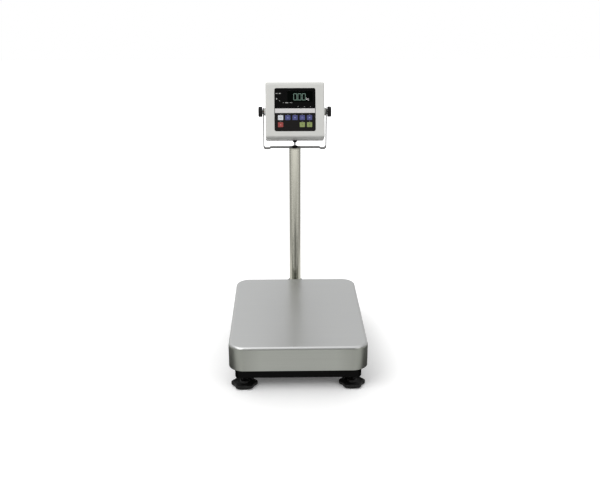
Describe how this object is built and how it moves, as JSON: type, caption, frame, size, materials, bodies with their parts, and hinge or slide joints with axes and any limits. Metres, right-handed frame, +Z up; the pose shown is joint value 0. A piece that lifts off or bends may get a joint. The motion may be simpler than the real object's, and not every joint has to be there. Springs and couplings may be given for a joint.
{
  "type": "platform scale",
  "caption": "Bench platform scale: a removable stainless pan on a levelled steel base, with a tilting digital indicator on a rear column.",
  "frame": {"origin": "on the floor, under the middle of the whole scale", "axes": "+Z up, +X to the user's right, -Y towards the user, who faces the indicator"},
  "size_m": [0.39, 0.6632, 0.7786],
  "materials": {
    "brushed_stainless": "satin brushed",
    "polished_stainless": "fine polished tube",
    "zinc_plated_steel": "zinc plated, satin",
    "aluminium": "machined",
    "black_painted_steel": "black powder coat",
    "black_nylon": "moulded, matte",
    "black_rubber": "matte",
    "light_grey_housing": "light grey, fine texture",
    "grey_acetal": "turned acetal",
    "overlay_black": "printed polyester",
    "smoked_window": "smoked clear",
    "circuit_board": "solder mask",
    "display_glass": "digit modules",
    "level_vial": "clear, tinted liquid",
    "cable_grey": "PVC jacket",
    "key_white": "printed silicone",
    "key_blue": "printed silicone",
    "key_red": "printed silicone",
    "key_green": "printed silicone"
  },
  "bodies": {
    "base": {"base_frame": "black_painted_steel", "bracket_bolt_left": "zinc_plated_steel", "bracket_bolt_right": "zinc_plated_steel", "cable_grommet": "black_rubber", "cable_neck": "cable_grey", "cell_base_bolt_1": "zinc_plated_steel", "cell_base_bolt_2": "zinc_plated_steel", "cell_spacer": "zinc_plated_steel", "column_bracket": "black_painted_steel", "column_clamp_screw": "zinc_plated_steel", "column_plug": "polished_stainless", "column_socket": "black_painted_steel", "column_tube": "polished_stainless", "level_housing": "black_nylon", "level_vial": "level_vial", "load_cell": "aluminium", "load_cell_cable": "cable_grey", "tilt_bracket": "polished_stainless", "tilt_bracket_screw_left": "zinc_plated_steel", "tilt_bracket_screw_right": "zinc_plated_steel"},
    "platform": {"spider": "black_painted_steel", "cell_top_bolt_1": "zinc_plated_steel", "cell_top_bolt_2": "zinc_plated_steel", "pan_pad_1": "black_rubber", "pan_pad_2": "black_rubber", "pan_pad_3": "black_rubber", "pan_pad_4": "black_rubber"},
    "pan": {"pan": "brushed_stainless"},
    "indicator": {"front_housing": "light_grey_housing", "rear_cover": "light_grey_housing", "housing_gasket": "black_rubber", "keypad_overlay": "overlay_black", "display_window": "smoked_window", "display_module": "display_glass", "display_board": "circuit_board", "main_board": "circuit_board", "cable_gland": "black_nylon", "gland_lock_nut": "black_nylon", "pivot_spacer_left": "grey_acetal", "pivot_spacer_right": "grey_acetal"},
    "foot_1": {"foot_sole_1": "black_rubber"},
    "foot_wheel_1": {"foot_wheel_1": "black_nylon"},
    "foot_2": {"foot_sole_2": "black_rubber"},
    "foot_wheel_2": {"foot_wheel_2": "black_nylon"},
    "foot_3": {"foot_sole_3": "black_rubber"},
    "foot_wheel_3": {"foot_wheel_3": "black_nylon"},
    "foot_4": {"foot_sole_4": "black_rubber"},
    "foot_wheel_4": {"foot_wheel_4": "black_nylon"},
    "washer_left": {"knob_washer_left": "zinc_plated_steel"},
    "clamp_knob_left": {"clamp_knob_left": "black_nylon"},
    "washer_right": {"knob_washer_right": "zinc_plated_steel"},
    "clamp_knob_right": {"clamp_knob_right": "black_nylon"},
    "key_blue_1_body": {"key_blue_1": "key_blue"},
    "key_blue_2_body": {"key_blue_2": "key_blue"},
    "key_blue_3_body": {"key_blue_3": "key_blue"},
    "key_blue_4_body": {"key_blue_4": "key_blue"},
    "key_green_1_body": {"key_green_1": "key_green"},
    "key_green_2_body": {"key_green_2": "key_green"},
    "key_on_off_body": {"key_on_off": "key_white"},
    "key_red_body": {"key_red": "key_red"}
  },
  "joints": [
    {"name": "platform_deflection", "type": "slide", "parent": "base", "child": "platform", "axis": [0, 0, -1], "range_m": [0, 0.0008], "stiffness_N_per_m": 3000000, "deforming": ["load_cell"]},
    {"name": "pan_lift", "type": "slide", "parent": "platform", "child": "pan", "axis": [0, 0, 1], "range_m": [0, 0.09]},
    {"name": "head_tilt", "type": "hinge", "parent": "base", "child": "indicator", "pos_m": [0, 0.26339, 0.684], "axis": [-1, 0, 0], "range_deg": [-20, 25], "deforming": ["cable_neck"]},
    {"name": "foot_1_height", "type": "slide", "parent": "base", "child": "foot_1", "axis": [0, 0, -1], "range_m": [0, 0.0106]},
    {"name": "foot_1_turn", "type": "hinge", "parent": "foot_1", "child": "foot_wheel_1", "pos_m": [-0.1525, -0.29011, 0.01], "axis": [0, 0, -1], "range_deg": [0, 2160]},
    {"name": "foot_2_height", "type": "slide", "parent": "base", "child": "foot_2", "axis": [0, 0, -1], "range_m": [0, 0.0106]},
    {"name": "foot_2_turn", "type": "hinge", "parent": "foot_2", "child": "foot_wheel_2", "pos_m": [-0.1525, 0.15689, 0.01], "axis": [0, 0, -1], "range_deg": [0, 2160]},
    {"name": "foot_3_height", "type": "slide", "parent": "base", "child": "foot_3", "axis": [0, 0, -1], "range_m": [0, 0.0106]},
    {"name": "foot_3_turn", "type": "hinge", "parent": "foot_3", "child": "foot_wheel_3", "pos_m": [0.1525, -0.29011, 0.01], "axis": [0, 0, -1], "range_deg": [0, 2160]},
    {"name": "foot_4_height", "type": "slide", "parent": "base", "child": "foot_4", "axis": [0, 0, -1], "range_m": [0, 0.0106]},
    {"name": "foot_4_turn", "type": "hinge", "parent": "foot_4", "child": "foot_wheel_4", "pos_m": [0.1525, 0.15689, 0.01], "axis": [0, 0, -1], "range_deg": [0, 2160]},
    {"name": "knob_left_travel", "type": "slide", "parent": "indicator", "child": "washer_left", "axis": [-1, 0, 0], "range_m": [0, 0.0031]},
    {"name": "knob_left_turn", "type": "hinge", "parent": "washer_left", "child": "clamp_knob_left", "pos_m": [-0.105, 0.26339, 0.684], "axis": [-1, 0, 0], "range_deg": [0, 1080]},
    {"name": "knob_right_travel", "type": "slide", "parent": "indicator", "child": "washer_right", "axis": [1, 0, 0], "range_m": [0, 0.0031]},
    {"name": "knob_right_turn", "type": "hinge", "parent": "washer_right", "child": "clamp_knob_right", "pos_m": [0.105, 0.26339, 0.684], "axis": [1, 0, 0], "range_deg": [0, 1080]},
    {"name": "key_blue_1_press", "type": "slide", "parent": "indicator", "child": "key_blue_1_body", "axis": [0, 0.9397, -0.342], "range_m": [0, 0.0004], "stiffness_N_per_m": 6000},
    {"name": "key_blue_2_press", "type": "slide", "parent": "indicator", "child": "key_blue_2_body", "axis": [0, 0.9397, -0.342], "range_m": [0, 0.0004], "stiffness_N_per_m": 6000},
    {"name": "key_blue_3_press", "type": "slide", "parent": "indicator", "child": "key_blue_3_body", "axis": [0, 0.9397, -0.342], "range_m": [0, 0.0004], "stiffness_N_per_m": 6000},
    {"name": "key_blue_4_press", "type": "slide", "parent": "indicator", "child": "key_blue_4_body", "axis": [0, 0.9397, -0.342], "range_m": [0, 0.0004], "stiffness_N_per_m": 6000},
    {"name": "key_green_1_press", "type": "slide", "parent": "indicator", "child": "key_green_1_body", "axis": [0, 0.9397, -0.342], "range_m": [0, 0.0004], "stiffness_N_per_m": 6000},
    {"name": "key_green_2_press", "type": "slide", "parent": "indicator", "child": "key_green_2_body", "axis": [0, 0.9397, -0.342], "range_m": [0, 0.0004], "stiffness_N_per_m": 6000},
    {"name": "key_on_off_press", "type": "slide", "parent": "indicator", "child": "key_on_off_body", "axis": [0, 0.9397, -0.342], "range_m": [0, 0.0004], "stiffness_N_per_m": 6000},
    {"name": "key_red_press", "type": "slide", "parent": "indicator", "child": "key_red_body", "axis": [0, 0.9397, -0.342], "range_m": [0, 0.0004], "stiffness_N_per_m": 6000}
  ],
  "couplings": [
    {"joint": "foot_1_height", "follows": "foot_1_turn", "m_per_rad": 0.00027852},
    {"joint": "foot_2_height", "follows": "foot_2_turn", "m_per_rad": 0.00027852},
    {"joint": "foot_3_height", "follows": "foot_3_turn", "m_per_rad": 0.00027852},
    {"joint": "foot_4_height", "follows": "foot_4_turn", "m_per_rad": 0.00027852},
    {"joint": "knob_left_travel", "follows": "knob_left_turn", "m_per_rad": 0.00015915},
    {"joint": "knob_right_travel", "follows": "knob_right_turn", "m_per_rad": 0.00015915}
  ]
}
